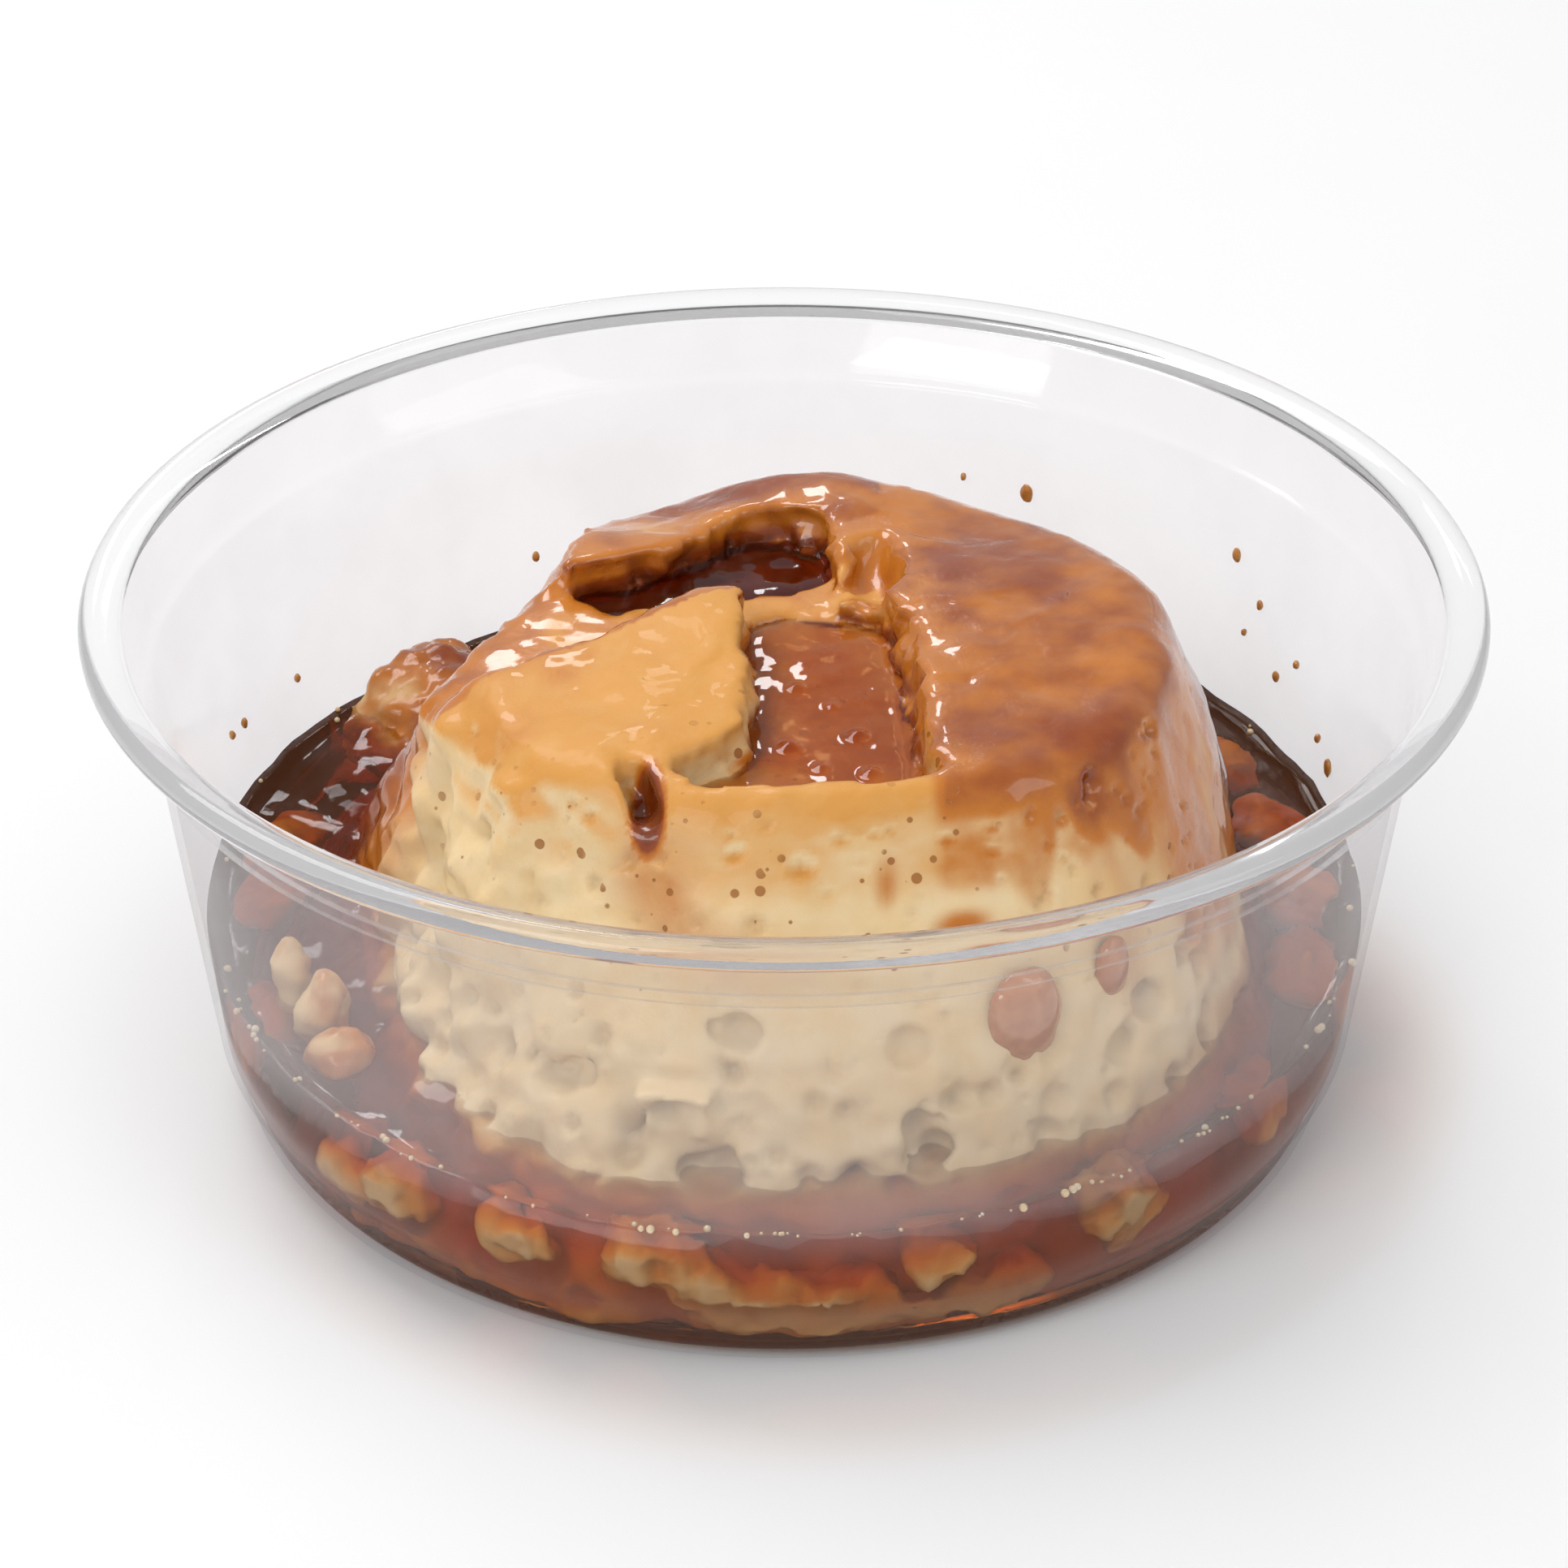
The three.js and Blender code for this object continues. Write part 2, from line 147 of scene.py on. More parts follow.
def new_piece(name: str, verts: Sequence, edges: Sequence = (), faces: Sequence = ()) -> bpy.types.Object:
    """Makes a mesh object at the origin.

    Args:
        name: the piece's name.
        verts: vertices in millimetres.
        edges: pairs of vertex numbers.
        faces: rows of vertex numbers.

    Returns:
        The new object, linked to the scene.
    """
    mesh = bpy.data.meshes.new(name)
    mesh.from_pydata([tuple(c * MM for c in v) for v in verts], edges, faces)
    piece = bpy.data.objects.new(name, mesh)
    bpy.context.scene.collection.objects.link(piece)
    return piece


def copy_node(name: str, node: str) -> bpy.types.Object:
    """Copies a solid of the frame as a new, merged piece.

    Args:
        name: the piece's name.
        node: the solid's node.

    Returns:
        The copy.
    """
    piece = bpy.data.objects.new(name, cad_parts[node].data.copy())
    piece.data.materials.clear()
    bpy.context.scene.collection.objects.link(piece)
    merge_doubles(piece)
    return piece


def spin_profile(name: str, profile: Sequence[tuple[float, float]], steps: int) -> bpy.types.Object:
    """Spins a profile about the vertical axis into a closed shell.

    Args:
        name: the piece's name.
        profile: radius and height of its points in millimetres.
        steps: how many steps make the full turn.

    Returns:
        The shell.
    """
    verts = [(radius, 0.0, height) for radius, height in profile]
    piece = new_piece(name, verts, [(i, i + 1) for i in range(len(verts) - 1)])
    activate(piece)
    bpy.ops.object.mode_set(mode="EDIT")
    bpy.ops.mesh.select_all(action="SELECT")
    bpy.ops.mesh.spin(steps=steps, angle=math.tau, center=(0, 0, 0), axis=(0, 0, 1))
    bpy.ops.object.mode_set(mode="OBJECT")
    merge_doubles(piece, 1e-5)
    return piece


def finish_piece(
    piece: bpy.types.Object,
    material: bpy.types.Material,
    replaced: Sequence[str] = (),
) -> bpy.types.Object:
    """Smooths and dresses a finished piece, attaches it to the body and hides the solids that it stands for.

    Args:
        piece: the object.
        material: its finish.
        replaced: the solids that it stands for.

    Returns:
        The same object.
    """
    if not piece.data.materials:
        piece.data.materials.append(material)
    activate(piece)
    bpy.ops.object.shade_smooth()
    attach(piece, BODY)
    if replaced:
        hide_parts(*replaced)
    LOG.info("%s: %d faces", piece.name, len(piece.data.polygons))
    return piece


# Fields over space


def ease(low: float, high: float, value: np.ndarray) -> np.ndarray:
    """Returns a soft step from 0 at low to 1 at high."""
    share = np.clip((value - low) / (high - low), 0, 1)
    return share * share * (3 - 2 * share)


def scatter(cell: np.ndarray, seed: int) -> np.ndarray:
    """Returns a fixed draw between 0 and 1 for each whole-numbered cell."""
    i, j, k = (cell[:, axis].astype(np.int64) for axis in range(3))
    mixed = (i * 374761393 + j * 668265263 + k * 1103515245 + seed * 1274126177) & 0xFFFFFFFF
    mixed = ((mixed ^ (mixed >> 13)) * 1274126177) & 0xFFFFFFFF
    return ((mixed ^ (mixed >> 16)) & 0xFFFFFF) / 0xFFFFFF


def lumps(points: np.ndarray, size: float, seed: int = 1) -> np.ndarray:
    """Returns smooth noise between -1 and 1.

    Args:
        points: places in millimetres.
        size: the size of one lump.
        seed: which draw.

    Returns:
        One value for each place.
    """
    place = points / size
    corner = np.floor(place)
    share = place - corner
    share = share * share * (3 - 2 * share)
    total = np.zeros(len(points))
    for n in range(8):
        step = np.array([n & 1, (n >> 1) & 1, n >> 2])
        weight = np.prod(np.where(step, share, 1 - share), axis=1)
        total += weight * scatter(corner + step, seed)
    return 2 * total - 1


def crags(points: np.ndarray, size: float, seed: int = 1, octaves: int = 3) -> np.ndarray:
    """Returns noise of several sizes, each half the last.

    Args:
        points: places in millimetres.
        size: the size of the largest lumps.
        seed: which draw.
        octaves: how many sizes.

    Returns:
        One value for each place.
    """
    total = np.zeros(len(points))
    for octave in range(octaves):
        total += lumps(points, size / 2**octave, seed + octave) / 2**octave
    return total


def crumbs(points: np.ndarray, size: float, seed: int = 1) -> np.ndarray:
    """Returns the distance to the nearest of a set of scattered grains, in grain sizes.

    Args:
        points: places in millimetres.
        size: the size of one grain.
        seed: which draw.

    Returns:
        One distance for each place.
    """
    place = points / size
    corner = np.floor(place)
    nearest = np.full(len(points), 9.0)
    for n in range(27):
        cell = corner + np.array([n % 3, n // 3 % 3, n // 9]) - 1
        grain = cell + np.stack([scatter(cell, seed + axis) for axis in range(3)], axis=1)
        nearest = np.minimum(nearest, np.linalg.norm(place - grain, axis=1))
    return nearest


def spot(points: np.ndarray, centre: Sequence[float], reach: Sequence[float]) -> np.ndarray:
    """Returns a soft spot that fades from 1 at its centre.

    Args:
        points: places in millimetres.
        centre: the middle of the spot.
        reach: its half sizes.

    Returns:
        One share for each place.
    """
    apart = (points - np.array(centre)) / np.array(reach)
    return np.exp(-np.sum(apart * apart, axis=1))


# Materials


class Socket:
    """A shader value that Python expressions can work with."""

    def __init__(self, kit: "Finish", socket: bpy.types.NodeSocket) -> None:
        """Wraps one output socket of a material."""
        self.kit = kit
        self.socket = socket

    def _math(self, operation: str, first: "Operand", second: "Operand") -> "Socket":
        """Adds a Math node on two values."""
        return self.kit.value("ShaderNodeMath", {"operation": operation}, {0: first, 1: second})

    def __add__(self, other: "Operand") -> "Socket":
        """Sum of two values."""
        return self._math("ADD", self, other)

    __radd__ = __add__

    def __sub__(self, other: "Operand") -> "Socket":
        """Difference of two values."""
        return self._math("SUBTRACT", self, other)

    def __rsub__(self, other: "Operand") -> "Socket":
        """Difference from a plain number."""
        return self._math("SUBTRACT", other, self)

    def __mul__(self, other: "Operand") -> "Socket":
        """Product of two values."""
        return self._math("MULTIPLY", self, other)

    __rmul__ = __mul__

    def clamp(self) -> "Socket":
        """The value held between 0 and 1."""
        return self.kit.value("ShaderNodeClamp", {}, {"Value": self})


Operand = Union[Socket, Number]


class Finish:
    """A material made of nodes."""

    def __init__(self, name: str) -> None:
        """Starts an empty material."""
        self.material = bpy.data.materials.new(name)
        self.material.use_nodes = True
        self.tree = self.material.node_tree
        self.tree.nodes.clear()
        self.output = self.node("ShaderNodeOutputMaterial")

    def node(
        self, kind: str, settings: Optional[dict] = None, sockets: Optional[dict] = None
    ) -> bpy.types.Node:
        """Adds a node.

        Args:
            kind: the node's type.
            settings: its own settings, set first.
            sockets: values or links of its inputs.

        Returns:
            The node.
        """
        made = self.tree.nodes.new(kind)
        for name, value in (settings or {}).items():
            setattr(made, name, value)
        for name, value in (sockets or {}).items():
            if isinstance(value, Socket):
                self.tree.links.new(value.socket, made.inputs[name])
            elif isinstance(value, bpy.types.NodeSocket):
                self.tree.links.new(value, made.inputs[name])
            elif value is not None:
                made.inputs[name].default_value = value
        return made

    def value(
        self,
        kind: str,
        settings: Optional[dict] = None,
        sockets: Optional[dict] = None,
        out: Union[int, str] = 0,
    ) -> Socket:
        """Adds a node and returns one of its outputs."""
        return Socket(self, self.node(kind, settings, sockets).outputs[out])

    def place(self) -> Socket:
        """Object coordinates, in metres."""
        return self.value("ShaderNodeTexCoord", out="Object")

    def noise(self, size_mm: float, detail: float = 3.0, roughness: float = 0.5) -> Socket:
        """Noise whose lumps have a size in millimetres."""
        sockets = {
            "Vector": self.place(),
            "Scale": 1 / (size_mm * MM),
            "Detail": detail,
            "Roughness": roughness,
        }
        return self.value("ShaderNodeTexNoise", {}, sockets, "Fac")

    def dots(self, gap_mm: float) -> Socket:
        """Scattered round dots of many sizes."""
        cells = self.node("ShaderNodeTexVoronoi", {}, {"Vector": self.place(), "Scale": 1 / (gap_mm * MM)})
        draw = self.value("ShaderNodeSeparateColor", {}, {0: cells.outputs["Color"]})
        inside = 0.1 + draw * draw * 0.2 - Socket(self, cells.outputs["Distance"])
        return self.span(inside, 0.0, 0.05)

    def blend(self, share: Operand, first: Union[Socket, Colour], second: Union[Socket, Colour]) -> Socket:
        """Mixes two colours."""
        first = first if isinstance(first, Socket) else (*first, 1)
        second = second if isinstance(second, Socket) else (*second, 1)
        sockets = {"Factor": share, 6: first, 7: second}
        return self.value("ShaderNodeMix", {"data_type": "RGBA"}, sockets, 2)

    def span(self, value: Socket, low: float, high: float) -> Socket:
        """Soft step of a value from low to high."""
        settings = {"interpolation_type": "SMOOTHSTEP"}
        sockets = {"Value": value, "From Min": low, "From Max": high}
        return self.value("ShaderNodeMapRange", settings, sockets)

    def bump(self, height: Socket, depth_mm: float, strength: float) -> Socket:
        """Normal of a low relief."""
        sockets = {"Height": height, "Distance": depth_mm * MM, "Strength": strength}
        return self.value("ShaderNodeBump", {}, sockets)

    def surface(self, shader: bpy.types.Node) -> bpy.types.Material:
        """Links a shader to the output and returns the material."""
        self.tree.links.new(shader.outputs[0], self.output.inputs["Surface"])
        return self.material

    def mix(self, share: Operand, first: bpy.types.Node, second: bpy.types.Node) -> bpy.types.Node:
        """Mixes two shaders."""
        return self.node("ShaderNodeMixShader", {}, {0: share, 1: first.outputs[0], 2: second.outputs[0]})


@dataclass(frozen=True)
class CustardFinish:
    """Porous custard, browned on top and stained by caramel where it is painted so; its masks also carry
    painted shade in the pores, the notch, the crevice and the low torn walls.
    """

    name: str = "custard"
    cream: Colour = (0.87, 0.62, 0.31)
    pale: Colour = (0.9, 0.69, 0.4)
    skin: Colour = (0.74, 0.345, 0.075)
    amber: Colour = (0.6, 0.19, 0.018)
    brown: Colour = (0.29, 0.052, 0.006)
    dark: Colour = (0.07, 0.012, 0.003)
    # Painted shade: the dark brown inside the small pores.
    pore_shade: Colour = (0.36, 0.12, 0.015)
    pore_gap_mm: float = 1.75

    def build(self) -> bpy.types.Material:
        """Builds the material from three painted masks: glaze, which also holds painted shade, the painted
        shade of small pores, and skin.
        """
        kit = Finish(self.name)
        masks = kit.node("ShaderNodeVertexColor", {"layer_name": "masks"})
        parts = kit.node("ShaderNodeSeparateColor", {}, {"Color": masks.outputs["Color"]})
        glaze, pore_shade, skin = (Socket(kit, parts.outputs[i]) for i in range(3))
        mottle = kit.noise(3.2, 4)
        grain = kit.noise(0.7, 3)
        glaze = (glaze + (mottle - 0.5) * 0.22 * (glaze * 3).clamp()).clamp()
        base = kit.blend(kit.span(mottle, 0.3, 0.7), self.cream, self.pale)
        base = kit.blend((skin + (mottle - 0.5) * 0.5 * skin).clamp(), base, self.skin)
        base = kit.blend(kit.span(glaze, 0.06, 0.4), base, self.amber)
        base = kit.blend(kit.span(glaze, 0.36, 0.72), base, self.brown)
        base = kit.blend(kit.span(glaze, 0.72, 1.0), base, self.dark)
        # Painted shade: dark brown dots stand for the shade inside the small pores, which are only dents in
        # the bump.
        dots = kit.dots(self.pore_gap_mm) * kit.span(pore_shade, 0.05, 0.6)
        base = kit.blend(dots * 0.85, base, self.pore_shade)
        wet = kit.span(glaze + skin * 0.1, 0.12, 0.5)
        relief = kit.bump(grain * 0.7 + mottle * 0.5 - dots * 2.2, 0.16, 0.4)
        shader = kit.node(
            "ShaderNodeBsdfPrincipled",
            {},
            {
                "Base Color": base,
                "Roughness": 0.5 - wet * 0.24,
                "Coat Weight": 0.08 + wet * 0.62,
                "Coat Roughness": 0.045,
                "Specular IOR Level": 0.3,
                "Normal": relief,
            },
        )
        return kit.surface(shader)


@dataclass(frozen=True)
class CaramelFinish:
    """Clear dark caramel that takes its colour from its depth."""

    name: str
    tint: Colour = (0.86, 0.54, 0.02)
    density: float = 600.0
    cloud: float = 0.14
    bending: float = 1.34
    cloud_colour: Colour = (0.42, 0.115, 0.016)
    roughness: float = 0.04
    ripple_mm: float = 2.4
    ripple_depth_mm: float = 0.05

    def build(self) -> bpy.types.Material:
        """Builds the material, which lets light through to what lies in it."""
        kit = Finish(self.name)
        ripple = kit.bump(kit.noise(self.ripple_mm, 2), self.ripple_depth_mm, 0.5)
        glass = kit.node(
            "ShaderNodeBsdfPrincipled",
            {},
            {
                "Base Color": (1.0, 0.97, 0.93, 1),
                "Roughness": self.roughness,
                "Transmission Weight": 1.0,
                "IOR": self.bending,
                "Normal": ripple,
            },
        )
        clear = kit.node("ShaderNodeBsdfTransparent", {}, {"Color": (0.78, 0.76, 0.72, 1)})
        shadow = kit.value("ShaderNodeLightPath", out="Is Shadow Ray")
        depth = kit.node(
            "ShaderNodeVolumeAbsorption", {}, {"Color": (*self.tint, 1), "Density": self.density}
        )
        kit.tree.links.new(depth.outputs[0], kit.output.inputs["Volume"])
        milk = kit.node("ShaderNodeBsdfDiffuse", {}, {"Color": (*self.cloud_colour, 1), "Normal": ripple})
        return kit.surface(kit.mix(shadow, kit.mix(self.cloud, glass, milk), clear))


@dataclass(frozen=True)
class DropFinish:
    """Small opaque drops and bubbles of caramel."""

    name: str
    colour: Colour
    rim: Colour
    roughness: float = 0.1

    def build(self) -> bpy.types.Material:
        """Builds a glossy material that varies a little from place to place."""
        kit = Finish(self.name)
        base = kit.blend(kit.span(kit.noise(1.5, 2), 0.35, 0.65), self.colour, self.rim)
        sockets = {"Base Color": base, "Roughness": self.roughness, "Coat Weight": 0.6}
        return kit.surface(kit.node("ShaderNodeBsdfPrincipled", {}, sockets))


@dataclass(frozen=True)
class WallFinish:
    """Thin clear plastic with a slight milky haze."""

    name: str = "cup_wall"
    haze: float = 0.1
    tint: Colour = (0.985, 0.98, 0.985)
    milk: Colour = (0.96, 0.925, 0.935)
    roughness: float = 0.06
    sauce_line: float = 13.0

    def build(self) -> bpy.types.Material:
        """Builds the material: clear, a little haze, and gloss that grows at grazing angles."""
        kit = Finish(self.name)
        clear = kit.node("ShaderNodeBsdfTransparent", {}, {"Color": (*self.tint, 1)})
        milk = kit.node("ShaderNodeBsdfDiffuse", {}, {"Color": (*self.milk, 1)})
        cloud = kit.span(kit.noise(14, 3), 0.25, 0.75)
        height = kit.value("ShaderNodeSeparateXYZ", {}, {0: kit.place()}, "Z")
        above = kit.span(height, self.sauce_line * MM - 0.003, self.sauce_line * MM + 0.004)
        body = kit.mix(self.haze * (0.7 + cloud * 0.6) * (0.05 + above * 0.95), clear, milk)
        gloss = kit.node("ShaderNodeBsdfGlossy", {}, {"Roughness": self.roughness})
        facing = kit.value("ShaderNodeLayerWeight", {}, {"Blend": 0.5}, "Facing")
        square = facing * facing
        return kit.surface(kit.mix(0.004 + above * 0.02 + square * square * facing * 0.3, body, gloss))


@dataclass(frozen=True)
class RimFinish:
    """Thicker clear plastic of the rolled rim."""

    name: str = "cup_rim"
    tint: Colour = (0.97, 0.97, 0.975)

    def build(self) -> bpy.types.Material:
        """Builds clear glass that lets light fall through."""
        kit = Finish(self.name)
        ripple = kit.bump(kit.noise(9, 2), 0.04, 0.25)
        glass = kit.node(
            "ShaderNodeBsdfPrincipled",
            {},
            {
                "Base Color": (*self.tint, 1),
                "Roughness": 0.05,
                "Transmission Weight": 1.0,
                "IOR": 1.36,
                "Normal": ripple,
            },
        )
        clear = kit.node("ShaderNodeBsdfTransparent")
        shadow = kit.value("ShaderNodeLightPath", out="Is Shadow Ray")
        milk = kit.node("ShaderNodeBsdfDiffuse", {}, {"Color": (0.95, 0.95, 0.97, 1)})
        body = kit.mix(0.08, glass, milk)
        return kit.surface(kit.mix(shadow, body, clear))


# Sub-assemblies


@dataclass
class Cup:
    """Clear cup: foot ring, stacking step, tapered wall, lid ledge and rolled rim. Sizes in millimetres."""

    wall: float = 0.6
    rim_radius: float = 58.5
    rim_height: float = 46.0
    bead: float = 1.1
    neck_radius: float = 54.9
    ledge_height: float = 38.6
    ledge_radius: float = 52.8
    ledge_width: float = 1.2
    step_height: float = 6.2
    step_radius: float = 49.8
    step_width: float = 0.8
    foot_radius: float = 47.4
    foot_corner: float = 1.7
    foot_width: float = 4.0
    floor_rise: float = 0.9
    steps: int = 168

    @staticmethod
    def arc(radius: float, height: float, size: float, start: float, end: float, steps: int) -> list:
        """Returns points of an arc in the profile plane, angles in degrees."""
        turns = [math.radians(start + (end - start) * i / steps) for i in range(steps + 1)]
        return [(radius + size * math.cos(t), height + size * math.sin(t)) for t in turns]

    def inner_radius(self, height: float) -> float:
        """Returns the radius of the wall's inner face at a height."""
        low = self.step_height + 0.35
        share = (height - low) / (self.ledge_height - low)
        return self.step_radius - 0.7 + (self.ledge_radius - self.step_radius + 0.7) * share

    def hold(self, points: np.ndarray) -> np.ndarray:
        """Returns points drawn in so that they stay inside the wall and above the floor."""
        height = points[:, 2]
        low = self.step_radius - 2.5
        wall = np.where(height > self.step_height + 0.4, self.inner_radius(height), low)
        share = np.minimum(1, wall / np.maximum(np.hypot(points[:, 0], points[:, 1]), 1))
        held = points * np.stack([share, share, np.ones(len(points))], axis=1)
        held[:, 2] = np.maximum(height, self.floor_rise + self.wall + 0.4)
        return held

    def inside(self) -> list:
        """Returns the inner profile from the ledge down to the floor."""
        corner = self.foot_corner - self.wall / 2
        return [
            (self.ledge_radius + self.ledge_width, self.ledge_height + self.wall),
            (self.ledge_radius + 0.3, self.ledge_height + 0.25),
            (self.ledge_radius, self.ledge_height - 0.2),
            (self.step_radius - self.wall, self.step_height + 0.4),
            (self.step_radius - self.step_width - self.wall, self.step_height - 0.6),
            *reversed(self.arc(self.foot_radius - corner, self.wall + corner, corner, -90, 0, 6)),
            (self.foot_radius - self.foot_width, self.wall),
            (self.foot_radius - self.foot_width - self.wall, self.floor_rise + self.wall),
            (0, self.floor_rise + self.wall),
        ]

    def outside(self) -> list:
        """Returns the outer profile from the floor up and over the rim."""
        under = self.rim_height - 2 * self.bead
        rim = self.rim_radius - self.bead
        ball = self.foot_radius - self.foot_corner + self.wall
        return [
            (0, self.floor_rise),
            (self.foot_radius - self.foot_width - self.wall, self.floor_rise),
            (self.foot_radius - self.foot_width, 0),
            *self.arc(ball, self.foot_corner, self.foot_corner, -90, 0, 7),
            (self.step_radius - self.step_width, self.step_height - 0.7),
            (self.step_radius - 0.15, self.step_height - 0.15),
            (self.step_radius, self.step_height + 0.2),
            (self.ledge_radius + self.wall, self.ledge_height - 0.8),
            (self.ledge_radius + self.wall + 0.3, self.ledge_height - 0.45),
            (self.ledge_radius + self.ledge_width + self.wall, self.ledge_height),
            (self.neck_radius + self.wall, under - 0.3),
            (self.neck_radius + self.wall + 0.4, under),
            *self.arc(rim, under + self.bead, self.bead, -80, 95, 10),
            (self.neck_radius + 1.3, self.rim_height - 0.3),
            (self.neck_radius + 0.4, self.rim_height - 0.7),
            (self.neck_radius, self.rim_height - 1.4),
        ]

    def build(self, wall: bpy.types.Material, rim: bpy.types.Material) -> bpy.types.Object:
        """Builds the shell and gives the rim its own finish.

        Args:
            wall: finish of the thin wall.
            rim: finish of the rolled rim.

        Returns:
            The cup.
        """
        piece = spin_profile("cup_shell", [*self.outside(), *self.inside()], self.steps)
        piece.data.materials.append(wall)
        piece.data.materials.append(rim)
        for face in piece.data.polygons:
            face.material_index = int(face.center.z > (self.rim_height - 2.6) * MM)
        return finish_piece(piece, wall, ["cup"])


@dataclass
class Custard:
    """A piece of custard, worked from its solid: finer, rounder and rougher. Sizes in millimetres."""

    name: str
    node: str
    voxel: float = 0.5
    soften: int = 10
    soak: float = 0.52
    slot: Slot = Slot.STAINED

    def sculpt(self, points: np.ndarray, normals: np.ndarray) -> np.ndarray:
        """Returns how far each vertex moves out along its normal."""
        rough = 0.6 * crags(points, 4.0, 5) + 0.3 * crags(points, 1.8, 6)
        return rough + 0.8 * (0.5 - crumbs(points, 3.0, 8))

    def drift(self, points: np.ndarray) -> np.ndarray:
        """Returns how far each vertex moves sideways."""
        return np.zeros_like(points)

    def masks(self, points: np.ndarray, normals: np.ndarray) -> np.ndarray:
        """Returns rows of glaze, pore and skin shares."""
        glaze = self.soak + 0.25 * crags(points, 4.0, 21)
        streak = ease(0.15, 0.7, lumps(points * [1, 1, 2], 3.0, 31))
        glaze = glaze * (1 - 0.6 * streak)
        return np.stack([glaze, np.zeros(len(points)), np.full(len(points), 0.25)], axis=1)

    def build(self, material: bpy.types.Material) -> bpy.types.Object:
        """Builds the piece.

        Args:
            material: its finish.

        Returns:
            The piece.
        """
        piece = copy_node(self.name, self.node)
        apply_modifier(piece, "REMESH", mode="VOXEL", voxel_size=self.voxel * MM)
        apply_modifier(piece, "SMOOTH", factor=0.5, iterations=self.soften)
        points = read_points(piece)
        normals = read_normals(piece)
        moved = points + normals * self.sculpt(points, normals)[:, None]
        write_points(piece, moved + self.drift(points))
        apply_modifier(piece, "SMOOTH", factor=0.4, iterations=1)
        paint(piece, "masks", self.masks(read_points(piece), read_normals(piece)))
        return finish_piece(piece, material, [self.node])


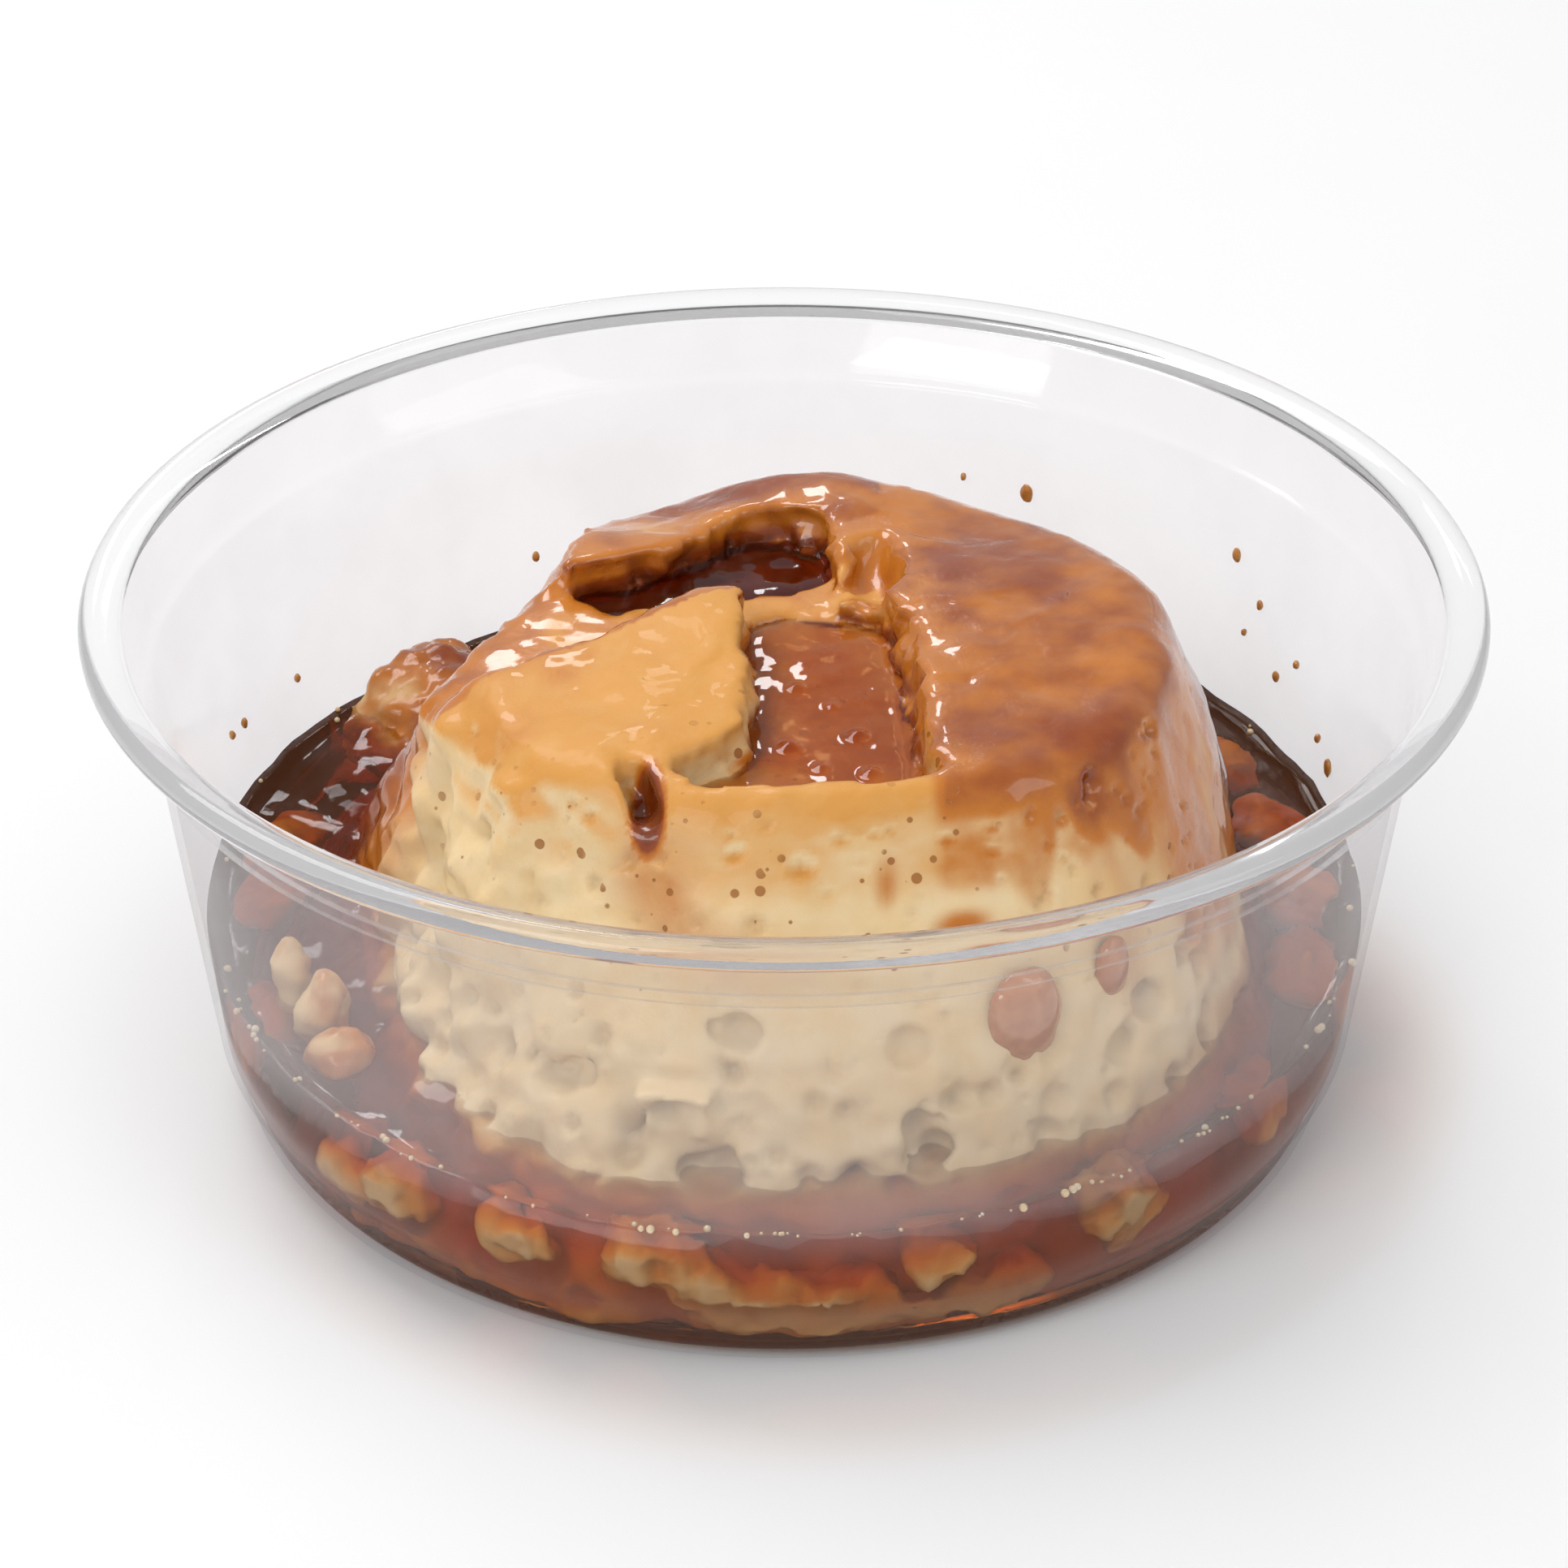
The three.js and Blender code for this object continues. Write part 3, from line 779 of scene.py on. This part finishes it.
@dataclass
class Pudding(Custard):
    """The turned-out custard with its torn top, pores, crumbled left side and running glaze."""

    voxel: float = 0.52
    soften: int = 8
    slot: Slot = Slot.CUSTARD
    pore_count: int = 330
    seed: int = 7
    pores: list = field(default_factory=list)

    @staticmethod
    def bearing(points: np.ndarray) -> np.ndarray:
        """Returns each point's bearing about the pudding's axis, in degrees."""
        return np.degrees(np.arctan2(points[:, 1], points[:, 0] - 1))

    def beside(self, points: np.ndarray, bearing: float, spread: float) -> np.ndarray:
        """Returns a soft share of the points near a bearing."""
        apart = (self.bearing(points) - bearing + 180) % 360 - 180
        return np.exp(-((apart / spread) ** 2))

    def tops(self, points: np.ndarray, normals: np.ndarray) -> np.ndarray:
        """Returns the share that belongs to the upper surface."""
        return ease(0.25, 0.7, normals[:, 2]) * ease(33, 36, points[:, 2])

    def torn(self, points: np.ndarray) -> np.ndarray:
        """Returns the share that lies inside the torn channel and hollow."""
        x, y, z = points.T
        channel = ease(-5, -3, x) * ease(12, 10.5, x) * ease(-28, -26, y)
        back = ease(7, 5, x) * ease(0.6 * x + 4, 0.6 * x + 7, y) * ease(-22, -19, x)
        inside = np.maximum(channel * ease(9, 7, y), back * ease(23, 21, y))
        return inside * ease(40.9, 39.8, z)

    def place_pores(self, points: np.ndarray, normals: np.ndarray) -> None:
        """Draws the pores of the pale face: centre, radius and depth."""
        draw = np.random.default_rng(self.seed)
        face = (normals[:, 2] < 0.6) & (points[:, 2] > 12) & (points[:, 2] < 40.5)
        turn = self.bearing(points)
        face &= (turn < -22) & (turn > -172)
        for index in draw.choice(np.flatnonzero(face), self.pore_count, replace=False):
            radius = 0.28 + 0.75 * draw.random() ** 3
            if points[index, 2] < 24:
                radius *= 1.5
            self.pores.append((points[index], radius, 0.9 * radius))

    def sculpt(self, points: np.ndarray, normals: np.ndarray) -> np.ndarray:
        """Returns how far each vertex moves: crags, crumbs, torn edges and pores."""
        z = points[:, 2]
        side = ease(0.7, 0.3, normals[:, 2])
        low = side * ease(26, 19, z)
        left = side * self.beside(points, -152, 34) * ease(40, 36, z)
        top = self.tops(points, normals)
        move = (0.2 * crags(points, 6.0, 3) + 0.1 * crags(points, 2.0, 4)) * (1 - 0.6 * top)
        move += left * (1.9 * crags(points, 5.5, 11) + 1.9 * (0.5 - crumbs(points, 4.6, 12)))
        lumpy = low * self.beside(points, -115, 45)
        move += lumpy * (0.9 * crags(points, 4.5, 13) + 1.7 * (0.45 - crumbs(points, 3.2, 14)))
        move -= low * 0.8 * ease(0.42, 0.2, crumbs(points, 4.4, 15))
        edge = self.torn(points) * ease(0.9, 0.5, normals[:, 2])
        move += edge * (0.75 * crags(points, 4.0, 16) + 0.3 * crags(points, 1.6, 18))
        move += top * ease(40.0, 41.0, z) * 0.1 * crags(points, 3.0, 17)
        self.place_pores(points, normals)
        for centre, radius, depth in self.pores:
            near = np.linalg.norm(points - centre, axis=1) / radius
            move -= depth * ease(1.15, 0.25, near)
        return move

    def drift(self, points: np.ndarray) -> np.ndarray:
        """Returns how far the torn top moves sideways, which makes its edges ragged."""
        share = ease(35, 37.5, points[:, 2]) * ease(31, 26, np.hypot(points[:, 0], points[:, 1]))
        flat = points * [1, 1, 0.5]
        move = np.zeros_like(points)
        for axis in range(2):
            move[:, axis] = share * (0.75 * crags(flat, 4.2, 46 + axis) + 0.3 * crags(flat, 1.6, 48 + axis))
        return move

    def side_glaze(self, points: np.ndarray) -> np.ndarray:
        """Returns the caramel that ran down the side."""
        z = points[:, 2]
        turn = np.radians(self.bearing(points))
        round_side = np.stack([turn * 38, np.zeros(len(z)), z * 0.22], axis=1)
        streak = crags(round_side, 5.0, 41)
        run = 33.5 + 3.2 * crags(round_side * [1, 1, 0], 4.2, 43)
        right = self.beside(points, 8, 50) * (0.56 + 0.26 * streak) * ease(12, 27, z)
        front_right = self.beside(points, -47, 17) * (0.5 + 0.3 * streak) * ease(run - 2.5, run + 2.0, z)
        flank = self.beside(points, 160, 30) * 0.8
        back = self.beside(points, 92, 45) * (0.55 + 0.25 * streak)
        stain = 0.32 * spot(points, (-10, -31, 36), (4.5, 8, 5))
        stain += 0.2 * spot(points, (-3, -34, 30), (10, 8, 3.5))
        blots = 0.5 * spot(points, (14, -31, 31.5), (2.4, 5, 1.3))
        blots += 0.4 * spot(points, (8, -31, 35), (1.2, 4, 2.2))
        foot = 0.45 * ease(19, 15, z + 1.2 * crags(points, 3.0, 45)) * self.beside(points, 20, 60)
        return np.maximum.reduce([right, front_right, flank, back, stain, blots, foot])

    def top_glaze(self, points: np.ndarray) -> np.ndarray:
        """Returns the caramel on the upper surface."""
        x, y, _ = points.T
        lobe = ease(10.5, 15, x + 1.5 * crags(points, 4.0, 51))
        lobe_glaze = 0.42 + 0.15 * lobe + 0.15 * crags(points, 9.0, 52) + 0.07 * crags(points, 2.5, 53)
        slab = 0.07 + 0.13 * crags(points, 6.0, 54) + 0.3 * spot(points, (-26, -6, 40), (5, 4, 6))
        ridge = 0.42 + 0.18 * crags(points, 5.0, 55) + 0.3 * spot(points, (-2, 27, 41), (14, 4, 6))
        glaze = np.where(x > 8.5, lobe_glaze, np.where(y > 0.6 * x + 6, ridge, slab))
        lip = ease(-24.5, -26.5, y) * ease(13, 11, x)
        return glaze * (1 - lip) + 0.1 * lip

    def masks(self, points: np.ndarray, normals: np.ndarray) -> np.ndarray:
        """Returns rows of glaze, pore and skin shares; the glaze row holds caramel stain and also painted
        shade in the notch, the crevice and the low torn walls.
        """
        z = points[:, 2]
        top = self.tops(points, normals)
        torn = self.torn(points)
        wall = torn * ease(0.75, 0.45, normals[:, 2])
        floor = torn * ease(0.45, 0.75, normals[:, 2])
        glaze = self.side_glaze(points) * (1 - top) + self.top_glaze(points) * top
        hollow = ease(3, 10, points[:, 1])
        right = ease(7.5, 9.5, points[:, 0]) * ease(8, 5, points[:, 1])
        # Torn walls: caramel stain, plus painted shade that darkens them in the hollow and low down by the
        # pool.
        wall_glaze_and_shade = 0.14 + 0.32 * np.maximum(hollow, right) + 0.1 * crags(points, 2.5, 61)
        wall_glaze_and_shade += 0.4 * ease(39.4, 38.0, z)
        glaze = glaze * (1 - wall) + wall_glaze_and_shade * wall
        glaze = glaze * (1 - floor) + (0.3 + 0.22 * crags(points, 4.0, 62)) * floor
        # Where the painted shade of small pores goes: the pale front face below the top.
        pore_shade = np.maximum(self.beside(points, -90, 70), 0.3) * ease(24, 29, z) * (1 - 0.7 * top)
        pore_shade = pore_shade * ease(-0.5, 0.1, crags(points, 7.0, 64))
        # Painted shade: the notch in the front and the crevice from it to the channel are painted dark
        # caramel brown through the glaze row.
        notch_shade = spot(points, (-10.7, -26.5, 38.5), (1.5, 4.5, 3.6))
        crevice_shade = spot(points, (-8.0, -24.8, 39.0), (2.6, 2.4, 2.2))
        glaze = np.maximum.reduce([glaze, 0.85 * ease(0.15, 0.6, notch_shade), 0.6 * ease(0.2, 0.8, crevice_shade)])
        skin = np.maximum(top, 0.9 * ease(38.6, 40.6, z + 1.3 * crags(points, 3.0, 63)))
        skin = skin * (1 - 0.55 * wall)
        return np.stack([glaze, pore_shade, skin], axis=1)


@dataclass
class Sauce:
    """Caramel round the foot of the pudding, reaching just into the cup's wall. Sizes in millimetres."""

    cup: Cup
    front: float = 13.8
    back: float = 16.8
    into_wall: float = 0.12
    steps: int = 168
    rings: tuple = (49.2, 48.6, 47.8, 47, 46, 45, 44, 43, 42, 41, 40, 39, 38, 37, 36, 34, 31, 24)

    def level(self, points: np.ndarray) -> np.ndarray:
        """Returns the height of the sauce's surface, with its ripples and its rise at the wall."""
        flat = points * [1, 1, 0]
        share = (1 + points[:, 1] / self.cup.step_radius) / 2
        radius = np.hypot(points[:, 0], points[:, 1])
        rise = 0.5 * ease(48.6, 49.8, radius)
        swell = 0.32 * crags(flat, 8.0, 71) + 0.24 * crags(flat, 3.0, 72)
        return self.front + (self.back - self.front) * share + rise + swell

    def build(self, material: bpy.types.Material) -> bpy.types.Object:
        """Builds the body of sauce.

        Args:
            material: its finish.

        Returns:
            The piece.
        """
        wall = [(radius + self.into_wall, height) for radius, height in self.cup.inside()[3:-1]]
        floor = self.cup.floor_rise + self.cup.wall - self.into_wall
        top = self.front
        edge = (self.cup.inner_radius(top) + self.into_wall, top)
        profile = [(0, floor), *reversed(wall), edge, *((radius, top) for radius in self.rings), (0, top)]
        piece = spin_profile("sauce_body", profile, self.steps)
        points = read_points(piece)
        surface = points[:, 2] > top - 0.05
        points[surface, 2] = self.level(points[surface])
        write_points(piece, points)
        return finish_piece(piece, material, ["caramel_sauce"])


@dataclass
class Pool:
    """Caramel lying in the torn top. Sizes in millimetres."""

    name: str
    node: str
    voxel: float = 0.36
    spread: float = 1.7
    bubbles: tuple = ()

    def build(self, material: bpy.types.Material) -> bpy.types.Object:
        """Builds the pool, which runs a little way into the custard round it.

        Args:
            material: its finish.

        Returns:
            The piece.
        """
        piece = copy_node(self.name, self.node)
        apply_modifier(piece, "REMESH", mode="VOXEL", voxel_size=self.voxel * MM)
        points = read_points(piece)
        normals = read_normals(piece)
        level = points[:, 2].max()
        out = normals * [1, 1, 0]
        points += self.spread * out / np.maximum(np.linalg.norm(out, axis=1), 0.5)[:, None]
        points[:, 2] -= 0.5 * ease(level - 0.2, level - 0.5, points[:, 2])
        top = ease(level - 0.4, level - 0.1, points[:, 2])
        points[:, 2] += top * 0.12 * crags(points * [1, 1, 0], 4.0, 81)
        for x, y, radius in self.bubbles:
            near = np.hypot(points[:, 0] - x, points[:, 1] - y) / radius
            points[:, 2] += top * 0.55 * radius * ease(1.0, 0.2, near)
        write_points(piece, points)
        apply_modifier(piece, "SMOOTH", factor=0.5, iterations=4)
        return finish_piece(piece, material, [self.node])


@dataclass
class Lump:
    """One uneven lump. Sizes in millimetres, bearing in degrees."""

    bearing: float
    radius: float
    height: float
    half: tuple
    seed: int = 0

    def shape(self, rough: float) -> tuple[np.ndarray, list]:
        """Returns the lump's vertices and faces.

        Args:
            rough: how uneven it is.

        Returns:
            Vertices in millimetres and rows of vertex numbers.
        """
        bpy.ops.object.select_all(action="DESELECT")
        bpy.ops.mesh.primitive_ico_sphere_add(subdivisions=4, radius=1.0)
        ball = bpy.context.object
        points = read_points(ball) * MM
        faces = [tuple(face.vertices) for face in ball.data.polygons]
        bpy.data.objects.remove(ball, do_unlink=True)
        points *= 1 + rough * crags(points + self.seed * 3.7, 0.9, 91)[:, None]
        points = points * np.array(self.half)
        turn = math.radians(self.bearing)
        along = np.array([math.cos(turn), math.sin(turn), 0])
        across = np.array([-math.sin(turn), math.cos(turn), 0])
        centre = along * self.radius + np.array([0, 0, self.height])
        up = np.array([0, 0, 1])
        return centre + points[:, :1] * along + points[:, 1:2] * across + points[:, 2:] * up, faces


@dataclass
class Scattered:
    """Small things of one kind, joined into one piece. With a voxel size they are made finer and ragged."""

    name: str
    items: list
    slot: Slot
    rough: float = 0.2
    masks: Optional[tuple] = None
    voxel: float = 0.0
    cup: Optional[Cup] = None

    def build(self, material: bpy.types.Material) -> bpy.types.Object:
        """Builds the joined piece.

        Args:
            material: its finish.

        Returns:
            The piece.
        """
        verts: list = []
        faces: list = []
        for item in self.items:
            points, rows = item.shape(self.rough)
            start = len(verts)
            verts.extend(map(tuple, points))
            faces.extend(tuple(start + i for i in row) for row in rows)
        piece = new_piece(self.name, verts, (), faces)
        if self.voxel:
            apply_modifier(piece, "REMESH", mode="VOXEL", voxel_size=self.voxel * MM)
            points = read_points(piece)
            move = 0.9 * crags(points, 3.2, 96) + 0.5 * crags(points, 1.4, 97)
            points += read_normals(piece) * move[:, None]
            write_points(piece, self.cup.hold(points))
        if self.masks is not None:
            points = read_points(piece)
            rows = np.tile(np.array(self.masks, dtype=float), (len(points), 1))
            rows[:, 0] += 0.18 * crags(points, 2.5, 95)
            paint(piece, "masks", rows)
        return finish_piece(piece, material)


def sunk_pieces() -> list[Lump]:
    """Returns the custard pieces sunk in the sauce, most of them by the front wall."""
    places = [
        (-103, 45.6, 9.8, 2.8, 3.6, 2.3), (-98, 45.2, 8.2, 2.6, 4.0, 2.0), (-91, 45.0, 6.6, 2.6, 4.4, 2.6),
        (-85, 44.6, 6.0, 2.9, 4.6, 2.8), (-79, 44.0, 5.4, 2.6, 4.2, 2.2), (-94, 43.6, 5.4, 2.4, 4.0, 1.8),
        (-70, 44.6, 5.6, 2.4, 4.2, 2.2), (-75, 45.8, 9.6, 2.4, 2.6, 1.6), (-57, 46.0, 10.6, 2.6, 3.4, 2.6),
        (-54, 45.6, 8.4, 2.4, 2.6, 2.2), (-131, 45.8, 9.2, 2.6, 3.6, 2.2), (-138, 45.4, 8.0, 2.4, 3.4, 2.0),
        (-116, 45.8, 9.4, 2.4, 3.0, 1.8), (-34, 45.6, 9.8, 2.8, 3.4, 2.2), (-12, 45.4, 10.6, 3.2, 4.4, 2.4),
        (2, 45.0, 11.4, 3.4, 4.6, 2.0), (16, 45.2, 11.8, 3.2, 4.0, 2.2), (30, 45.2, 11.4, 3.2, 4.6, 2.6),
        (52, 45.4, 12.0, 3.0, 5.0, 2.6), (80, 45.2, 12.4, 3.0, 5.0, 2.4), (108, 45.4, 12.2, 3.0, 4.6, 2.6),
        (168, 45.0, 11.6, 3.0, 4.4, 2.2), (178, 44.6, 10.8, 3.0, 4.0, 2.0), (-160, 45.2, 9.8, 2.6, 3.6, 2.2),
    ]
    return [
        Lump(turn, radius + (1.25 if -140 < turn < -50 else 0.2), z - 0.5, (deep, 1.1 * wide, tall), i)
        for i, (turn, radius, z, deep, wide, tall) in enumerate(places)
    ]


def wall_splashes(cup: Cup) -> list[Lump]:
    """Returns the drops that splashed on the inside of the wall."""
    places = [
        (63.4, 29.7, 1.0), (36.6, 31.1, 0.8), (32.1, 27.8, 0.55), (27.7, 22.4, 0.6), (24.7, 24.9, 0.5),
        (70.6, 30.2, 0.45), (14.9, 19.0, 1.0), (117.8, 23.5, 0.6), (151.5, 21.9, 0.5), (162.4, 22.3, 0.6),
        (165.4, 22.5, 0.45), (33.8, 24.4, 0.4), (18.2, 20.4, 0.5),
    ]
    return [
        Lump(turn, cup.inner_radius(z) - 0.1, z, (0.3, 0.62 * size, 0.9 * size), i)
        for i, (turn, z, size) in enumerate(places)
    ]


def foam(cup: Cup, sauce: Sauce) -> list[Lump]:
    """Returns the small bubbles along the sauce line at the wall."""
    draw = np.random.default_rng(19)
    bubbles = []
    for i in range(90):
        turn = draw.uniform(-165, -15) if i < 60 else draw.uniform(-180, 180)
        size = 0.12 + 0.26 * draw.random() ** 2
        radius = cup.inner_radius(15) - 0.15 - 0.9 * draw.random() ** 2
        place = np.array([[radius * math.cos(math.radians(turn)), radius * math.sin(math.radians(turn)), 0]])
        bubbles.append(Lump(turn, radius, float(sauce.level(place)[0]) + 0.2 * size, (size, size, size), i))
    return bubbles


@dataclass
class Studio:
    """Pale floor, soft light and the camera. Lengths in metres, angles in degrees."""

    image_side: int = 1932
    focal_pixels: float = 5025.8
    sensor_mm: float = 36.0
    camera_place: tuple = (0.0, -0.3017, 0.2055)
    camera_pitch: float = 30.88
    floor_size: float = 6.0
    sky: float = 0.49

    def build_floor(self) -> None:
        """Lays the floor."""
        bpy.ops.object.select_all(action="DESELECT")
        bpy.ops.mesh.primitive_plane_add(size=self.floor_size, location=(0, 0, 0))
        floor = bpy.context.object
        floor.name = "studio_floor"
        kit = Finish("floor_paper")
        shade = kit.blend(kit.noise(40, 2), (0.93, 0.93, 0.935), (0.95, 0.95, 0.955))
        floor.data.materials.append(
            kit.surface(kit.node("ShaderNodeBsdfPrincipled", {}, {"Base Color": shade, "Roughness": 0.7}))
        )

    def build_light(self) -> None:
        """Sets the sky and the lamps."""
        world = bpy.data.worlds.new("studio_sky")
        world.use_nodes = True
        world.node_tree.nodes["Background"].inputs["Color"].default_value = (1, 1, 1, 1)
        world.node_tree.nodes["Background"].inputs["Strength"].default_value = self.sky
        bpy.context.scene.world = world
        self.lamp("key_light", (-0.35, 0.45, 0.75), (0.5, 0.35), 3.6)
        self.lamp("fill_light", (0.6, -0.25, 0.7), (0.5, 0.5), 1.3)
        self.lamp("front_light", (-0.45, -0.6, 0.7), (0.5, 0.4), 2.9)
        self.lamp("window_light", (-0.08, 0.95, 0.62), (0.07, 0.1), 0.22)

    @staticmethod
    def lamp(name: str, place: tuple, size: tuple, watts: float) -> None:
        """Hangs a rectangular soft light that points at the cup."""
        data = bpy.data.lights.new(name, "AREA")
        data.shape = "RECTANGLE"
        data.size, data.size_y = size
        data.energy = watts
        lamp = bpy.data.objects.new(name, data)
        lamp.location = place
        aim = -np.array(place) + np.array([0, 0, 0.02])
        flat = math.hypot(aim[0], aim[1])
        pitch = math.pi / 2 - math.atan2(-aim[2], flat)
        lamp.rotation_euler = (pitch, 0, math.atan2(aim[1], aim[0]) - math.pi / 2)
        bpy.context.scene.collection.objects.link(lamp)

    def build_camera(self) -> None:
        """Sets the camera at the viewing angle of the photograph."""
        data = bpy.data.cameras.new("camera")
        data.sensor_width = self.sensor_mm
        data.lens = self.focal_pixels / self.image_side * self.sensor_mm
        data.clip_start = 0.01
        camera = bpy.data.objects.new("camera", data)
        camera.location = self.camera_place
        camera.rotation_euler = (math.radians(90 - self.camera_pitch), 0, 0)
        bpy.context.scene.collection.objects.link(camera)
        bpy.context.scene.camera = camera

    def build(self) -> None:
        """Builds the studio and sets how light and colour are treated."""
        self.build_floor()
        self.build_light()
        self.build_camera()
        scene = bpy.context.scene
        scene.view_settings.view_transform = "Standard"
        scene.cycles.use_denoising = True
        scene.cycles.max_bounces = 6
        scene.cycles.diffuse_bounces = 1
        scene.cycles.glossy_bounces = 1
        scene.cycles.transmission_bounces = 5
        scene.cycles.transparent_max_bounces = 9
        scene.cycles.caustics_reflective = False
        scene.cycles.caustics_refractive = True


def main() -> None:
    """Builds every piece in order, then the studio."""
    logging.basicConfig(level=logging.INFO, format="%(message)s")
    custard = CustardFinish().build()
    caramel = CaramelFinish("caramel").build()
    top_look = CaramelFinish("top_caramel", (0.8, 0.5, 0.02), 720.0, 0.03, 1.42, ripple_depth_mm=0.03)
    top_caramel = top_look.build()
    deep_look = CaramelFinish("deep_caramel", (0.74, 0.4, 0.02), 1500.0, 0.02, 1.42, ripple_depth_mm=0.02)
    deep_caramel = deep_look.build()
    cup = Cup()
    cup.build(WallFinish().build(), RimFinish().build())
    Pudding("pudding_custard", "pudding").build(custard)
    Custard("broken_custard", "broken_piece").build(custard)
    for node in ("curd_left", "curd_middle", "curd_front"):
        Custard(f"{node}_custard", node, voxel=0.35, soften=4, soak=0.2).build(custard)
    sauce = Sauce(cup)
    sauce.build(caramel)
    channel_bubbles = (
        (1, -6, 0.9), (4, -9, 0.7), (6, -14, 1.1), (0.5, -16, 1.2), (3, -19, 0.8), (7, -20, 1.0),
    )
    Pool("channel_pool", "channel_caramel", bubbles=channel_bubbles).build(top_caramel)
    Pool("hollow_pool", "hollow_caramel").build(deep_caramel)
    sunk = Scattered("sunk_custard", sunk_pieces(), Slot.STAINED, 0.22, (0.05, 0.0, 0.0), 0.5, cup)
    sunk.build(custard)
    splash = DropFinish("splash_caramel", (0.64, 0.3, 0.08), (0.5, 0.19, 0.04)).build()
    Scattered("wall_splashes", wall_splashes(cup), Slot.CARAMEL, 0.12).build(splash)
    drip = DropFinish("drip_caramel", (0.6, 0.24, 0.08), (0.52, 0.18, 0.05)).build()
    face_drips = [Lump(-61, 39.0, 24.0, (1.9, 3.2, 4.2), 3), Lump(-48, 39.2, 25.4, (1.0, 1.6, 2.8), 5)]
    Scattered("face_drips", face_drips, Slot.CARAMEL, 0.12).build(drip)
    bubble = DropFinish("foam", (0.85, 0.6, 0.3), (0.9, 0.75, 0.5)).build()
    Scattered("sauce_foam", foam(cup, sauce), Slot.CARAMEL, 0.0).build(bubble)
    Studio().build()


if __name__ == "__main__":
    main()
